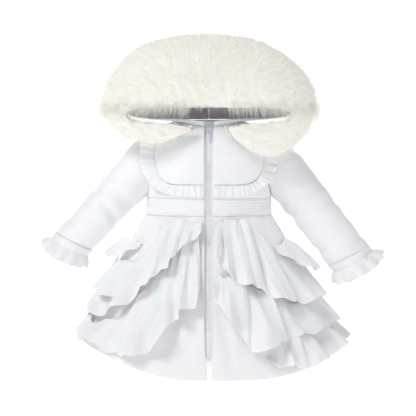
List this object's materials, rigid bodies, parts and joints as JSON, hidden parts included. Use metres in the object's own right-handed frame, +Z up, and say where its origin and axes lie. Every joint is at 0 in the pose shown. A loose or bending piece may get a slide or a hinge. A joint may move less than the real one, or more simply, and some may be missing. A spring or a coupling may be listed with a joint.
{
  "type": "puffer coat",
  "caption": "Toddler's white padded coat with a fur-edged hood, frilled bib yoke, flounced flared skirt, frilled cuffs and a front zip.",
  "frame": {"origin": "middle of the neckline, level with the inner ends of the shoulders, where the wearer carries the coat", "axes": "+Z up, -Y out of the coat's front, +X to the wearer's left"},
  "size_m": [0.6536, 0.313, 0.6679],
  "materials": {
    "white_satin": "soft satin shell over thin padding, bluish white",
    "white_taffeta": "thin crisp cloth, bluish white",
    "cream_fur": "long-pile faux fur, cream",
    "zip_tape": "woven tape, lavender white",
    "zip_nylon": "nylon coil, lavender white",
    "painted_zinc": "painted, lavender white"
  },
  "bodies": {
    "coat": {"bodice_front_left": "white_satin", "bodice_front_right": "white_satin", "bodice_back": "white_satin", "waistband_front_left": "white_satin", "waistband_front_right": "white_satin", "waistband_back": "white_satin", "skirt_front_left": "white_taffeta", "skirt_front_right": "white_taffeta", "skirt_back": "white_taffeta", "flounce_left_side": "white_taffeta", "flounce_left_top": "white_taffeta", "flounce_left_middle": "white_taffeta", "flounce_left_low": "white_taffeta", "flounce_right_side": "white_taffeta", "flounce_right_top": "white_taffeta", "flounce_right_middle": "white_taffeta", "flounce_right_low": "white_taffeta", "bib_left": "white_taffeta", "bib_right": "white_taffeta", "bib_frill_left": "white_taffeta", "bib_frill_right": "white_taffeta", "sleeve_left": "white_satin", "sleeve_right": "white_satin", "cuff_left": "white_taffeta", "cuff_right": "white_taffeta", "hood_left": "white_satin", "hood_right": "white_satin", "hood_fur": "cream_fur", "zip_tape_left": "zip_tape", "zip_tape_right": "zip_tape", "zip_chain": "zip_nylon", "zip_slider": "painted_zinc", "zip_stop": "painted_zinc"},
    "pull_tab": {"zip_pull": "painted_zinc"}
  },
  "joints": [
    {"name": "pull_tab_swing", "type": "hinge", "parent": "coat", "child": "pull_tab", "pos_m": [0, -0.0694, -0.0235], "axis": [-1, 0, 0], "range_deg": [0, 150]}
  ]
}
